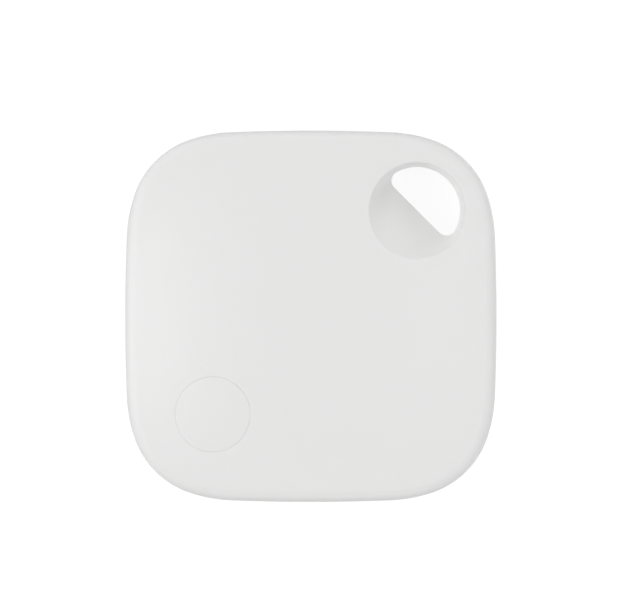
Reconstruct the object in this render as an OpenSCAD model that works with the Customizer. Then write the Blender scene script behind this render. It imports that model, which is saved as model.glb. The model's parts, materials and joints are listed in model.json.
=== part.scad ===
// Key-finder tag: a squircle case with a keyring eye in one corner and a push button in the
// opposite one. Inside are a circuit board, a piezo sounder and a coin cell, and a quarter-turn
// door in the rear face lets the cell out. Millimetres, +Z out of the front face, and the origin
// in the middle of the rear face.

/* [Case] */
// Width and length of the case
case_w = 38; // [37.5:0.5:40]
// Thickness of the case
case_t = 8; // [8:0.1:8.6]
// Radius of the rounded front and rear edges
edge_r = 1.1; // [0.8:0.1:1.2]
// Mould draft of each half: how far its side leans inward up to the rounded edge
side_draft = 0.15; // [0:0.01:0.2]
// Thickness of the side walls
side_wall = 1.4; // [1.3:0.1:1.5]
// Thickness of the front wall
front_wall = 1; // [0.8:0.1:1]
// Thickness of the rear wall
rear_wall = 1.2; // [1.2:0.1:1.3]

/* [Keyring eye] */
// Distance of the eye's centre from each centre plane of the case
eye_at = 10.87; // [10.8:0.01:11]
// Radius of the eye's rim in the faces
eye_rim_r = 4.96; // [4.8:0.01:5]
// Radius of the eye half way through, where it is narrowest
eye_r = 4.4; // [4.2:0.05:4.5]
// Radius of the two corners of the half-round opening
eye_corner_r = 1; // [0.8:0.1:1.2]
// Thickness of the eye's own wall, measured across the case
eye_wall = 1.1; // [0.9:0.1:1.1]

/* [Button] */
// Distance of the button's centre from each centre plane of the case
button_at = 10; // [9.8:0.1:10.2]
// Radius of the button cap
button_r = 3.8; // [3.6:0.05:3.9]
// Clearance all round the button cap
button_gap = 0.07; // [0.05:0.01:0.1]
// Travel of the button
button_travel = 0.2; // [0.15:0.01:0.2]

/* [Cell and door] */
// Distance of the cell's centre from each centre plane of the case
cell_at = 2.2; // [2.1:0.1:2.3]
// Radius of the coin cell
cell_r = 10; // [10:0.01:10.1]
// Height of the coin cell
cell_h = 3.2; // [3.1:0.05:3.2]
// Radius of the door's flange
door_r = 12.3; // [12.2:0.05:12.35]
// Angle that the door turns through from locked to open
door_turn = 32; // [30:1:34]

/* [Circuit board] */
// Thickness of the circuit board
board_t = 0.6; // [0.5:0.05:0.6]
// Radius of the sounder's brass plate
piezo_r = 7.5; // [7:0.1:7.6]

/* [Hidden] */
$fn = 64;
eps = 0.01;

// Outline: each side is a long shallow arc, then a blend arc, then the corner arc.
half_w = case_w / 2;
side_r = 200;
side_a = 2.35;
blend_r = 0.8 * half_w;
blend_a = 18.5;
side_c = half_w - side_r;
blend_c = [side_c + (side_r - blend_r) * cos(side_a), (side_r - blend_r) * sin(side_a)];
corner_step = (blend_c.y - blend_c.x) / (cos(blend_a) - sin(blend_a));
corner_r = blend_r - corner_step;
corner_c = blend_c + corner_step * [cos(blend_a), sin(blend_a)];
side_n = 2;
blend_n = 4;
corner_n = 10;
edge_n = 5;

// Joint between the shells: a lip on the rear shell stands in a rebate of the front shell.
split_z = case_t / 2;
lip_inset = 0.75;
rebate_inset = 0.7;
lip_top = split_z + 0.8;
rebate_top = split_z + 1.2;
snap_at = 5;
snap_w = 2.4;
snap_out = 0.2;
snap_z = split_z + 0.25;
snap_h = 0.3;
snap_play = 0.1;
seal_play = 0.05;

// Eye: its flat edge lies a little inside its centre.
eye_edge = -0.02;
eye_corner_x = eye_edge + eye_corner_r;
eye_corner_y = sqrt(pow(eye_r - eye_corner_r, 2) - pow(eye_corner_x, 2));
eye_clear_r = 6.2;
eye_land = 0.05;

// Levels, from the rear face up.
ledge_z = 1.2;
ledge_t = 0.7;
cell_z = 1.4;
board_z = 5.1;
board_top = board_z + board_t;
frame_z = 4.3;
front_in = case_t - front_wall;

// Door and its seat in the rear shell.
seat_r = door_r + 0.1;
ledge_r = 11.3;
neck_r = 11.1;
cup_r = 10.35;
lug_r = 12;
lug_a = 24;
lug_z = ledge_z + ledge_t + 0.05;
lug_h = 0.65;
notch_r = lug_r + 0.15;
notch_a = lug_a + 4;
lug_angles = [90, 210, 330];
mark_angle = 205;
mark_r = 0.4;
slot_l = 13;
slot_w = 2;
slot_d = 0.7;
door_t = ledge_z - 0.05;
door_groove_d = 0.4;
door_groove_z = 0.35;
door_groove_h = 0.5;
seal_r = 0.24;

// Coin cell: a steel can crimped over a gasket, and a cap.
can_t = 0.25;
can_crimp_h = 0.45;
can_crimp_t = 0.25;
gasket_in_r = cell_r - 0.9;

// Inner frame.
frame_inset = side_wall + 0.3;
frame_ring_r = 11.2;
frame_bore_r = 10.25;
frame_lip_r = 9;
frame_lip_z = cell_z + cell_h + 0.1;
contact_angles = [135, 315];
contact_slot_w = 3.4;

// Screws and pins that hold the board.
screws_at = [[-13.2, 13.2], [13.2, -13.2], [-15.5, -3.2], [-3.2, -15.5]];
screw_r = 0.58;
screw_head_r = 1.1;
screw_head_h = 0.55;
screw_top = front_in - 0.15;
boss_r = 1.5;
pins_at = [[3.5, 15.2], [15.2, 1.5]];
pin_r = 0.6;

// Button and switch.
flange_r = 4.4;
flange_z = front_in - 0.38;
flange_h = 0.3;
guide_r = 5;
key_w = 1;
pad_r = 1.55;
pad_h = 0.28;
switch_w = 4;
switch_base_h = 0.45;
switch_cover_t = 0.1;
plunger_r = 0.95;
plunger_top = flange_z - 0.02;
plunger_low = board_top + 0.14 + button_travel;
shoulder_r = 1.25;
shoulder_t = 0.08;
switch_floor_t = 0.1;
dome_r = 1.3;
dome_ball_r = 4.02;
dome_h = 0.22;
dome_t = 0.06;
cap_groove_r = button_r - 0.28;
cap_groove_z = case_t - 0.7;
cap_groove_h = 0.36;

// Sounder, stacked down from the front wall.
piezo_glue_t = 0.2;
piezo_plate_t = 0.2;
piezo_ceramic_r = 5.2;
piezo_ceramic_t = 0.18;
piezo_plate_z = front_in - piezo_glue_t - piezo_plate_t;
piezo_ceramic_z = piezo_plate_z - piezo_ceramic_t;

// Small chip parts: [x, y, angle] of each.
capacitors_at = [[-6.6, 7.4, 90], [-6.6, 9, 90], [-13.9, 5.2, 0], [-12.6, 5.2, 0], [-8, 2.9, 90],
                 [13.4, -0.6, 0], [8.2, -10.7, 90], [8.2, -6.6, 90], [13.3, -6.2, 0]];
bulk_capacitors_at = [[3.4, -13.6, 0], [7.6, -13.6, 0]];
resistors_at = [[-10.2, 12.4, 0], [-8.6, 12.4, 0], [-14.3, 4.2, 0], [11.1, -1.8, 0], [-14, -5.8, 90],
                [-5.2, -12.6, 0], [-8.4, 14.3, 0], [0.4, 12.6, 0]];
pads_at = [for (i = [0:4]) [-2.6 + 1.6 * i, 13.9 - 0.12 * i]];

// ---- Outline and lofts ----

function on_arc(c, r, a) = [c.x + r * cos(a), c.y + r * sin(a)];
function turned(p, a) = [p.x * cos(a) - p.y * sin(a), p.x * sin(a) + p.y * cos(a)];

// A quarter of the outline, moved inward by inset: half a side, blend, corner, blend, half a side.
function quarter(inset) = concat(
    [for (i = [0:side_n - 1]) on_arc([side_c, 0], side_r - inset, side_a * i / side_n)],
    [for (i = [0:blend_n - 1])
        on_arc(blend_c, blend_r - inset, side_a + (blend_a - side_a) * i / blend_n)],
    [for (i = [0:corner_n - 1])
        on_arc(corner_c, corner_r - inset, blend_a + (90 - 2 * blend_a) * i / corner_n)],
    [for (i = [0:blend_n - 1])
        on_arc([blend_c.y, blend_c.x], blend_r - inset, 90 - blend_a + (blend_a - side_a) * i / blend_n)],
    [for (i = [0:side_n - 1]) on_arc([0, side_c], side_r - inset, 90 - side_a + side_a * i / side_n)]);

function outline(inset) = [for (q = [0:3]) for (p = quarter(inset)) turned(p, 90 * q)];

// Insets and heights of the front half's skin: from the joint up the leaning side, round the edge
// and onto the face.
function half_profile() = concat([[0, split_z]], [for (i = [0:edge_n])
    [side_draft + edge_r * (1 - cos(90 * i / edge_n)), case_t - edge_r * (1 - sin(90 * i / edge_n))]]);

module case_prism(inset, z0, z1)
    translate([0, 0, z0]) linear_extrude(z1 - z0) polygon(outline(inset));

// A solid through the case outline at each [inset, height].
module loft(sections) {
    n = len(outline(0));
    last = len(sections) - 1;
    points = [for (s = sections) for (p = outline(s[0])) [p.x, p.y, s[1]]];
    sides = [for (k = [0:last - 1]) for (i = [0:n - 1])
        [k * n + i, (k + 1) * n + i, (k + 1) * n + (i + 1) % n, k * n + (i + 1) % n]];
    ends = [[for (i = [0:n - 1]) i], [for (i = [n - 1:-1:0]) last * n + i]];
    polyhedron(points = points, faces = concat(sides, ends), convexity = 4);
}

// Copies its children to each [x, y] or [x, y, angle].
module at_each(places)
    for (p = places) translate([p.x, p.y, 0]) rotate(len(p) > 2 ? p[2] : 0) children();

module ring(r0, r1, z0, z1)
    translate([0, 0, z0]) difference() {
        cylinder(r = r1, h = z1 - z0);
        translate([0, 0, -eps]) cylinder(r = r0, h = z1 - z0 + 2 * eps);
    }

// A sector of a ring, from angle a0 through span degrees.
module ring_sector(r0, r1, z0, z1, a0, span)
    translate([0, 0, z0]) rotate(a0) rotate_extrude(angle = span)
        translate([r0, 0]) square([r1 - r0, z1 - z0]);

module torus(r, section_r, z)
    translate([0, 0, z]) rotate_extrude() translate([r, 0]) circle(section_r);

// A bent leaf of sheet metal: its side view goes through points, and t is its thickness.
module leaf(points, t, w)
    rotate([90, 0, 0]) linear_extrude(w, center = true)
        polygon(concat(points, [for (i = [len(points) - 1:-1:0]) points[i] + t]));

// A box on the board with its middle at [x, y].
module on_board(x, y, size) translate([x - size.x / 2, y - size.y / 2, board_top]) cube(size);

module in_cell_frame() translate([-cell_at, -cell_at, 0]) children();
module at_button() translate([-button_at, -button_at, 0]) children();

// The two keys that stop the button turning, or the notches they slide in.
module button_keys(w, r, z0, z1) {
    r0 = button_r + 0.2;
    for (side = [-1, 1])
        translate([side * (r + r0) / 2 - (r - r0) / 2, -w / 2, z0]) cube([r - r0, w, z1 - z0]);
}

// ---- Keyring eye ----

// The eye from the half-round opening at half height to the round rim at the front face, with
// its walls moved outward by grow. Each end has a short upright land, and the corner of the case
// lies along local +X.
module eye_solid(grow) {
    clip_x = eye_corner_x * (eye_r + grow) / (eye_r - eye_corner_r);
    translate([eye_at, eye_at, 0]) rotate(45) hull() {
        translate([0, 0, case_t - eye_land]) cylinder(r = eye_rim_r + grow, h = 4 * eye_land);
        for (side = [-1, 1])
            translate([eye_corner_x, side * eye_corner_y, split_z - eye_land])
                cylinder(r = eye_corner_r + grow, h = 2 * eye_land, $fn = 32);
        translate([0, 0, split_z - eye_land]) linear_extrude(2 * eye_land) intersection() {
            circle(eye_r + grow);
            translate([clip_x, -eye_rim_r * 2]) square(eye_rim_r * 4);
        }
    }
}

// The wall round the eye in the front half, kept under the front face.
module eye_tube()
    intersection() {
        eye_solid(eye_wall);
        case_prism(side_wall / 2, split_z, case_t - front_wall / 2);
    }

// A sheet of the case outline, open at the eye.
module inner_sheet(inset, z0, z1)
    difference() {
        case_prism(inset, z0, z1);
        translate([eye_at, eye_at, z0 - eps]) cylinder(r = eye_clear_r, h = z1 - z0 + 2 * eps);
    }

// A shallow round mark in the rear face at radius r, less its children.
module rear_mark(r)
    translate([r, 0, 0]) difference() {
        translate([0, 0, -1]) cylinder(r = mark_r, h = 1.2);
        translate([0, 0, -1.5]) children();
    }

module mirrored_half() translate([0, 0, case_t]) mirror([0, 0, 1]) children();

// ---- Case ----

// Two blocks in each side of the joint: the bumps of the lip, or the pockets that they click into.
module snap_blocks(out, w, z0, z1)
    for (q = [0:3], side = [-1, 1])
        rotate(90 * q) translate([half_w - side_wall, side * snap_at - w / 2, z0])
            cube([side_wall - lip_inset + out, w, z1 - z0]);

module front_shell()
    color([0.91, 0.91, 0.91]) difference() {
        union() {
            difference() {
                loft(half_profile());
                case_prism(side_wall, split_z - eps, front_in);
                case_prism(rebate_inset, split_z - eps, rebate_top);
            }
            eye_tube();
            at_each(screws_at) translate([0, 0, board_top])
                cylinder(r = boss_r, h = front_in - board_top + eps);
            at_each(pins_at) {
                translate([0, 0, board_top]) cylinder(r = 1.1, h = front_in - board_top + eps);
                translate([0, 0, frame_z + 0.2]) cylinder(r = pin_r, h = board_top - frame_z);
            }
            ring(piezo_r + 0.15, piezo_r + 0.65, front_in - 0.5, front_in + eps);
            at_button() ring(flange_r + 0.1, guide_r, flange_z - 0.3, front_in + eps);
        }
        eye_solid(0);
        at_button() button_keys(key_w + 0.2, guide_r + 0.1, flange_z - 0.5, front_in);
        at_button() translate([0, 0, front_in - 0.5]) cylinder(r = button_r + button_gap, h = front_wall + 1);
        at_each(screws_at) translate([0, 0, board_top - eps])
            cylinder(r = screw_r + 0.02, h = front_in - board_top);
        snap_blocks(snap_out + snap_play, snap_w + 2 * snap_play, snap_z - snap_play,
                    snap_z + snap_h + snap_play);
    }

module rear_shell()
    color([0.91, 0.91, 0.91]) difference() {
        union() {
            difference() {
                mirrored_half() loft(half_profile());
                case_prism(side_wall, rear_wall, split_z + eps);
            }
            difference() {
                inner_sheet(lip_inset, split_z - 0.5, lip_top);
                case_prism(side_wall, split_z - 1, lip_top + eps);
            }
            snap_blocks(snap_out, snap_w, snap_z, snap_z + snap_h);
            mirrored_half() eye_tube();
            in_cell_frame() translate([0, 0, rear_wall - 0.3])
                cylinder(r = seat_r + 1.2, h = ledge_z + ledge_t - rear_wall + 0.3);
        }
        mirrored_half() eye_solid(0);
        in_cell_frame() {
            translate([0, 0, -1]) cylinder(r = seat_r, h = ledge_z + 1);
            cylinder(r = ledge_r, h = 4);
            for (a = lug_angles)
                ring_sector(ledge_r - 0.5, notch_r, 0.5, 3, a - door_turn - notch_a / 2, notch_a);
            rotate(mark_angle) rear_mark(seat_r + 0.8);
            rotate(mark_angle - door_turn) rear_mark(seat_r + 0.8) cylinder(r = 0.2, h = 2);
        }
    }

module case_seal()
    color([0.25, 0.25, 0.27]) difference() {
        inner_sheet(lip_inset + seal_play, lip_top, rebate_top);
        case_prism(side_wall - seal_play, lip_top - eps, rebate_top + eps);
    }

// ---- Frame, board and fasteners ----

module inner_frame()
    color([0.2, 0.21, 0.23]) difference() {
        union() {
            inner_sheet(frame_inset, frame_z, board_z);
            in_cell_frame() translate([0, 0, lug_z + lug_h + 0.15])
                cylinder(r = frame_ring_r, h = frame_z - lug_z - lug_h);
        }
        in_cell_frame() {
            cylinder(r = frame_bore_r, h = frame_lip_z);
            cylinder(r = frame_lip_r, h = case_t);
            for (a = contact_angles)
                rotate(a) translate([frame_lip_r - 1, -contact_slot_w / 2, 2]) cube([4.4, contact_slot_w, 4]);
        }
        at_each(screws_at) cylinder(r = screw_r + 0.07, h = case_t);
        at_each(pins_at) cylinder(r = pin_r + 0.05, h = case_t);
    }

module frame_screws()
    color([0.62, 0.63, 0.65]) at_each(screws_at) difference() {
        union() {
            translate([0, 0, frame_z - screw_head_h]) cylinder(r = screw_head_r, h = screw_head_h);
            translate([0, 0, frame_z - eps]) cylinder(r = screw_r, h = screw_top - frame_z);
        }
        for (turn = [0, 90])
            rotate(turn) translate([-0.6, -0.13, frame_z - screw_head_h - eps]) cube([1.2, 0.26, 0.3]);
    }

module circuit_board()
    color([0.05, 0.3, 0.18]) difference() {
        inner_sheet(frame_inset, board_z, board_top);
        at_each(screws_at) cylinder(r = screw_r + 0.07, h = case_t);
        at_each(pins_at) cylinder(r = pin_r + 0.05, h = case_t);
    }

// A chip package with a pin-one mark pressed into its top.
module chip(x, y, size) color([0.12, 0.12, 0.13]) difference() {
    on_board(x, y, size);
    translate([x - size.x / 2 + 0.45, y + size.y / 2 - 0.45, board_top + size.z - 0.05])
        cylinder(r = 0.2, h = 1);
}

module bluetooth_chip() chip(-10.4, 8.6, [5, 5, 0.85]);
module buzzer_driver() chip(10.9, -4.4, [2, 2, 0.55]);
module motion_sensor() chip(14, -3, [2.2, 2.2, 0.9]);

// A crystal: a metal lid on a wider ceramic base.
module crystal(x, y, size) color([0.75, 0.74, 0.7]) union() {
    on_board(x, y, [size.x, size.y, size.z * 0.6]);
    on_board(x, y, [size.x - 0.3, size.y - 0.3, size.z]);
}

module main_crystal() crystal(-10.8, 4.4, [2, 1.6, 0.5]);
module clock_crystal() crystal(-5, 11.3, [3.2, 1.5, 0.75]);

module chip_antenna()
    color([0.85, 0.87, 0.9]) union() {
        on_board(-15.4, 8, [1.6, 3.2, 0.5]);
        for (side = [-1, 1]) on_board(-15.4, 8 + side * 1.45, [1.66, 0.4, 0.53]);
    }

module power_inductor()
    color([0.25, 0.25, 0.26]) difference() {
        on_board(11, -9, [3, 3, 1]);
        translate([11, -9, board_top]) ring(1, 1.2, 0.9, 1.1);
    }

// An end-capped chip part with its length along X.
module chip_part(size) {
    cap = size.x * 0.22;
    translate([-size.x / 2 + cap / 2, -size.y / 2 + 0.02, board_top])
        cube([size.x - cap, size.y - 0.04, size.z - 0.02]);
    for (side = [-1, 1])
        translate([side * (size.x - cap) / 2 - cap / 2, -size.y / 2, board_top]) cube([cap, size.y, size.z]);
}

module capacitors()
    color([0.72, 0.58, 0.42]) {
        at_each(capacitors_at) chip_part([1, 0.5, 0.5]);
        at_each(bulk_capacitors_at) chip_part([3.2, 1.6, 0.9]);
    }

module resistors() color([0.15, 0.15, 0.17]) at_each(resistors_at) chip_part([1, 0.5, 0.35]);

module test_pads() color([0.85, 0.68, 0.3]) at_each(pads_at)
    translate([0, 0, board_top]) cylinder(r = 0.5, h = 0.04);

// ---- Contacts and sounder ----

module negative_contact()
    color([0.8, 0.74, 0.5]) in_cell_frame() {
        top = board_z;
        low = cell_z + cell_h + 0.01;
        t = 0.12;
        rotate(45) leaf([[-6.4, low + 0.15], [-5.8, low], [-5.2, low], [-2.4, top - t], [2.4, top - t],
                         [5.2, low], [5.8, low], [6.4, low + 0.15]], [0, t], 2.4);
    }

module positive_contacts()
    color([0.8, 0.74, 0.5]) in_cell_frame() for (a = contact_angles) rotate(a) {
        t = 0.1;
        leaf([[10.2, board_z], [10.2, 4], [cell_r + 0.01, 3.5], [10.1, 2.95]], [t, 0], 2.6);
        translate([10.2, -1.3, board_z - t]) cube([1.9, 2.6, t]);
    }

module piezo_plate() color([0.8, 0.62, 0.28])
    translate([0, 0, piezo_plate_z]) cylinder(r = piezo_r, h = piezo_plate_t);

module piezo_ceramic() color([0.86, 0.85, 0.8])
    translate([0, 0, piezo_ceramic_z]) cylinder(r = piezo_ceramic_r, h = piezo_ceramic_t);

module piezo_adhesive() color([0.2, 0.2, 0.2]) ring(piezo_r - 1, piezo_r, front_in - piezo_glue_t, front_in);

// Two fingers on the board, one under the brass rim and one under the ceramic.
module piezo_contacts()
    color([0.8, 0.74, 0.5]) {
        t = 0.1;
        for (f = [[4.6, 0, piezo_plate_z], [-1.4, 180, piezo_ceramic_z]])
            translate([f[0], 0, 0]) rotate(f[1])
                leaf([[-1, board_top], [0.2, board_top], [1.2, f[2] - t - 0.01], [1.8, f[2] - t - 0.01]],
                     [0, t], 1.2);
    }

// ---- Switch and button ----

module switch_base()
    color([0.16, 0.16, 0.17]) at_button() difference() {
        translate([-switch_w / 2, -switch_w / 2, board_top]) cube([switch_w, switch_w, switch_base_h]);
        translate([0, 0, board_top + switch_floor_t]) cylinder(r = dome_r + 0.15, h = 1);
    }

module switch_cover()
    color([0.78, 0.78, 0.76]) at_button() translate([0, 0, board_top + switch_base_h]) difference() {
        translate([-switch_w / 2, -switch_w / 2, 0]) cube([switch_w, switch_w, switch_cover_t]);
        translate([0, 0, -eps]) cylinder(r = plunger_r + 0.1, h = 1);
    }

module switch_terminals()
    color([0.85, 0.85, 0.83]) at_button() for (x = [-1, 1], y = [-1, 1])
        translate([x * (switch_w / 2 + 0.25) - 0.25, y * 1.3 - 0.3, board_top]) cube([0.5, 0.6, 0.12]);

// A thin snap dome that rests on its rim under the plunger.
module switch_dome()
    color([0.75, 0.76, 0.78]) at_button() translate([0, 0, board_top + switch_floor_t]) intersection() {
        translate([0, 0, dome_h - dome_ball_r]) difference() {
            sphere(r = dome_ball_r);
            sphere(r = dome_ball_r - dome_t);
        }
        cylinder(r = dome_r, h = 1);
    }

module switch_plunger()
    color([0.85, 0.3, 0.2]) at_button() union() {
        translate([0, 0, plunger_low]) cylinder(r = shoulder_r, h = shoulder_t);
        translate([0, 0, plunger_low]) cylinder(r = plunger_r, h = plunger_top - plunger_low);
    }

module button_cap()
    color([0.91, 0.91, 0.91]) at_button() difference() {
        union() {
            translate([0, 0, flange_z]) cylinder(r = flange_r, h = flange_h);
            translate([0, 0, flange_z]) cylinder(r = button_r, h = case_t - flange_z);
            button_keys(key_w, guide_r - 0.1, flange_z, flange_z + flange_h);
        }
        ring(cap_groove_r, button_r + 1, cap_groove_z, cap_groove_z + cap_groove_h);
        translate([0, 0, flange_z - eps]) cylinder(r = pad_r + 0.02, h = pad_h + eps);
    }

module button_pad() color([0.55, 0.56, 0.58]) at_button()
    translate([0, 0, flange_z]) cylinder(r = pad_r, h = pad_h - eps);

module button_seal() color([0.6, 0.6, 0.6]) at_button()
    torus(button_r - 0.12, 0.15, cap_groove_z + cap_groove_h / 2);

// ---- Coin cell ----

module battery_can()
    color([0.78, 0.79, 0.8]) in_cell_frame() translate([0, 0, cell_z]) difference() {
        union() {
            cylinder(r = cell_r, h = cell_h - can_crimp_h);
            translate([0, 0, cell_h - can_crimp_h]) cylinder(r1 = cell_r, r2 = cell_r - 0.5, h = can_crimp_t);
        }
        translate([0, 0, can_t]) cylinder(r = cell_r - can_t, h = cell_h - can_crimp_h - can_t);
        translate([0, 0, can_t]) cylinder(r = cell_r - 0.8, h = cell_h);
    }

module battery_gasket()
    color([0.85, 0.85, 0.88]) in_cell_frame() translate([0, 0, cell_z])
        ring(gasket_in_r, cell_r - can_t, can_t, cell_h - can_crimp_h);

module battery_cap()
    color([0.8, 0.8, 0.8]) in_cell_frame() translate([0, 0, cell_z]) difference() {
        union() {
            translate([0, 0, 0.6]) cylinder(r = gasket_in_r, h = cell_h - 1.1);
            translate([0, 0, cell_h - 0.5]) cylinder(r1 = gasket_in_r, r2 = gasket_in_r - 0.3, h = 0.5);
        }
        translate([0, 0, 0.5]) cylinder(r = gasket_in_r - can_t, h = cell_h - 1);
        translate([0, 0, cell_h - 0.5])
            cylinder(r1 = gasket_in_r - can_t, r2 = gasket_in_r - can_t - 0.25, h = 0.3);
    }

// The stack inside the cell: a layer from height z0 to z1 above the can's floor.
module cell_layer(r, z0, z1) in_cell_frame() translate([0, 0, cell_z + z0]) cylinder(r = r, h = z1 - z0);

module battery_cathode() color([0.1, 0.1, 0.1]) cell_layer(cell_r - 1.3, can_t, 2);
module battery_separator() color([0.95, 0.95, 0.92]) cell_layer(cell_r - 1.2, 2, 2.15);
module battery_anode() color([0.8, 0.81, 0.84]) cell_layer(cell_r - 1.5, 2.15, cell_h - 0.35);

// ---- Battery door ----

module battery_door()
    color([0.91, 0.91, 0.91]) in_cell_frame() difference() {
        union() {
            cylinder(r = door_r, h = door_t);
            cylinder(r = neck_r, h = lug_z + lug_h);
            for (a = lug_angles)
                ring_sector(neck_r - 0.3, lug_r, lug_z, lug_z + lug_h, a - lug_a / 2, lug_a);
        }
        translate([0, 0, ledge_z]) cylinder(r = cup_r, h = 4);
        ring(door_r - door_groove_d, door_r + 1, door_groove_z, door_groove_z + door_groove_h);
        rotate(mark_angle) rear_mark(door_r - 1);
        rotate(-45) coin_slot();
    }

// A slot with an arched floor, as deep as slot_d in its middle.
module coin_slot() {
    coin_r = (pow(slot_l / 2, 2) + pow(slot_d, 2)) / (2 * slot_d);
    translate([0, slot_w / 2, slot_d - coin_r]) rotate([90, 0, 0]) cylinder(r = coin_r, h = slot_w);
}

module door_seal() color([0.2, 0.2, 0.22]) in_cell_frame()
    torus(door_r - door_groove_d + seal_r, seal_r, door_groove_z + door_groove_h / 2);

module door_pad() color([0.3, 0.3, 0.32]) in_cell_frame()
    translate([0, 0, ledge_z]) cylinder(r = 8, h = cell_z - ledge_z - 0.02);

front_shell();
rear_shell();
case_seal();
inner_frame();
frame_screws();
circuit_board();
bluetooth_chip();
buzzer_driver();
motion_sensor();
main_crystal();
clock_crystal();
chip_antenna();
power_inductor();
capacitors();
resistors();
test_pads();
negative_contact();
positive_contacts();
piezo_plate();
piezo_ceramic();
piezo_adhesive();
piezo_contacts();
switch_base();
switch_cover();
switch_terminals();
switch_dome();
switch_plunger();
battery_can();
battery_cap();
battery_gasket();
battery_cathode();
battery_separator();
battery_anode();
button_cap();
button_pad();
button_seal();
battery_door();
door_seal();
door_pad();
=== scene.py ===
"""Looks of the tracker tag: fine meshes for what shows from outside, and a material for every piece.

Shapes are built in millimetres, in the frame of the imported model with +Z out of the front face, and
scaled to metres once they are whole.
"""
import json
import math

import bmesh
import bpy
from mathutils import Matrix, Vector


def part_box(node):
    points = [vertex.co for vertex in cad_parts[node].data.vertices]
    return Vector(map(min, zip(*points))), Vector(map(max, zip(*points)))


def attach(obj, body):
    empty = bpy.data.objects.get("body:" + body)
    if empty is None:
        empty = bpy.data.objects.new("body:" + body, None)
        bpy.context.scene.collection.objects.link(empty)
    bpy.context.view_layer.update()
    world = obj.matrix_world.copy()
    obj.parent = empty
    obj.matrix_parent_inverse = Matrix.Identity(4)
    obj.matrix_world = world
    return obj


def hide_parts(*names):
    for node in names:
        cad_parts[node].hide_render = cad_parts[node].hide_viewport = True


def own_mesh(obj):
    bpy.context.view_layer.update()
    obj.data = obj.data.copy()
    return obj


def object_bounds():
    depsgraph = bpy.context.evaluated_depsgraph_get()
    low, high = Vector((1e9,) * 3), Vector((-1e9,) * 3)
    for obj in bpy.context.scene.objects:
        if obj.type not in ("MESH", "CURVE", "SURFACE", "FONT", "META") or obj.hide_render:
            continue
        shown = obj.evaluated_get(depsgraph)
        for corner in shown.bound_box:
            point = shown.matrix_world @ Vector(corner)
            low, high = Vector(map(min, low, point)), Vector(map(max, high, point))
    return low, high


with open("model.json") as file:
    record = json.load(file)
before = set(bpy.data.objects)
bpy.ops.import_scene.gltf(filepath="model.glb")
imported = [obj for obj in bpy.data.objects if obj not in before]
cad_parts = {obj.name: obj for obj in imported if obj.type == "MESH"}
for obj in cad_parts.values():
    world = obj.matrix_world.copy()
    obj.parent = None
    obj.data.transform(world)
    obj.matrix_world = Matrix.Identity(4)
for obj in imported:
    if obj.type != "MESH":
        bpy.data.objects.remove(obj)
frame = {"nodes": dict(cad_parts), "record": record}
cad_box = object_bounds()

MM = 0.001


def box_mm(node):
    low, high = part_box(node)
    return low / MM, high / MM


def middle(node):
    low, high = box_mm(node)
    return (low + high) / 2


# ---- Sizes in millimetres and angles in degrees, from the frame where it has them ----

mounts = {m["name"]: m for m in frame["record"]["mounts"]}
CASE_W = (cad_box[1].x - cad_box[0].x) / MM
CASE_T = cad_box[1].z / MM
HALF_W = CASE_W / 2
SPLIT_Z = box_mm("front_shell")[0].z
LIP_TOP = box_mm("rear_shell")[1].z
SEAL_TOP = box_mm("case_seal")[1].z
BOARD_TOP = box_mm("circuit_board")[1].z
FRAME_TOP = box_mm("inner_frame")[1].z
FRONT_IN = box_mm("piezo_adhesive")[1].z
CELL = middle("battery_can")
BUTTON = middle("button_cap")
SOUNDER = middle("piezo_plate")
EYE = Vector(mounts["keyring_eye"]["pos_m"]) / MM
ORIGIN = Vector((0, 0, 0))

# The case's outline: a shallow arc along each side, a blend arc, and the corner arc.
SIDE_ARC_R, SIDE_ARC_A = 200, 2.35
BLEND_ARC_R, BLEND_ARC_A = 0.8 * HALF_W, 18.5

# The case's wall, its rounded edge, and the slot that shows as the parting line.
EDGE_R = 1.1
SIDE_DRAFT = 0.15
SIDE_WALL = 1.4
LIP_INSET = 0.75
REBATE_INSET = 0.7
PART_BREAK = 0.05
PART_GAP = 0.02
PART_DEPTH = 0.25

# The keyring eye: a round rim in each face, and a half-round opening at half thickness.
EYE_RIM_R = 5.08
EYE_RIM_DROP = 0.09
EYE_CROWN = 1.25
EYE_R = 4.4
EYE_CORNER_R = 1.0
EYE_EDGE = -0.02
EYE_TURN = 45
EYE_WALL = 1.1
EYE_FILLET = 0.22
EYE_CLEAR_R = 6.2

# The bumps of the lip, which click into pockets of the front half.
SNAP_AT = 5
SNAP_W, SNAP_H = 2.4, 0.3
SNAP_OUT = 0.2
SNAP_PLAY = 0.1
SNAP_Z = SPLIT_Z + 0.25

# What hangs from the front face's inside: screw bosses, pins, the sounder's rib and the button's guide.
SCREWS = [(-13.2, 13.2), (13.2, -13.2), (-15.5, -3.2), (-3.2, -15.5)]
PINS = [(3.5, 15.2), (15.2, 1.5)]
ROOT_Z = FRONT_IN + 0.1
SCREW_HOLE_R, BOSS_R = 0.6, 1.5
PIN_TIP_R, PIN_R, PIN_SHOULDER_R = 0.45, 0.6, 1.1
PIN_DEPTH = 0.6
RIB_R, RIB_H = 7.65, 0.5
GUIDE_R, GUIDE_BELOW = 4.5, 0.3
ROUND_WALL = 0.5

# The button's gap in the front face, its flange, and the keys that stop it from turning. A key is
# given by the two radii that it lies between and half its width.
GROOVE_R = 3.835
GROOVE_HALF_GAP = 0.0025
GROOVE_FILLET = 0.05
FLANGE_R, FLANGE_H = 4.4, 0.3
SEAL_GROOVE_R = 3.52
SEAL_GROOVE_DOWN = (0.7, 0.34)
PAD_PLAY = 0.02
KEY = (4.0, 4.9, 0.5)
KEY_NOTCH = (4.3, 5.1, 0.6)

# The snap dome, part of a hollow ball. Pressed, it fills most of the room left under the plunger.
DOME_BALL_R = 4.02
DOME_WALL = 0.06

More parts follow.
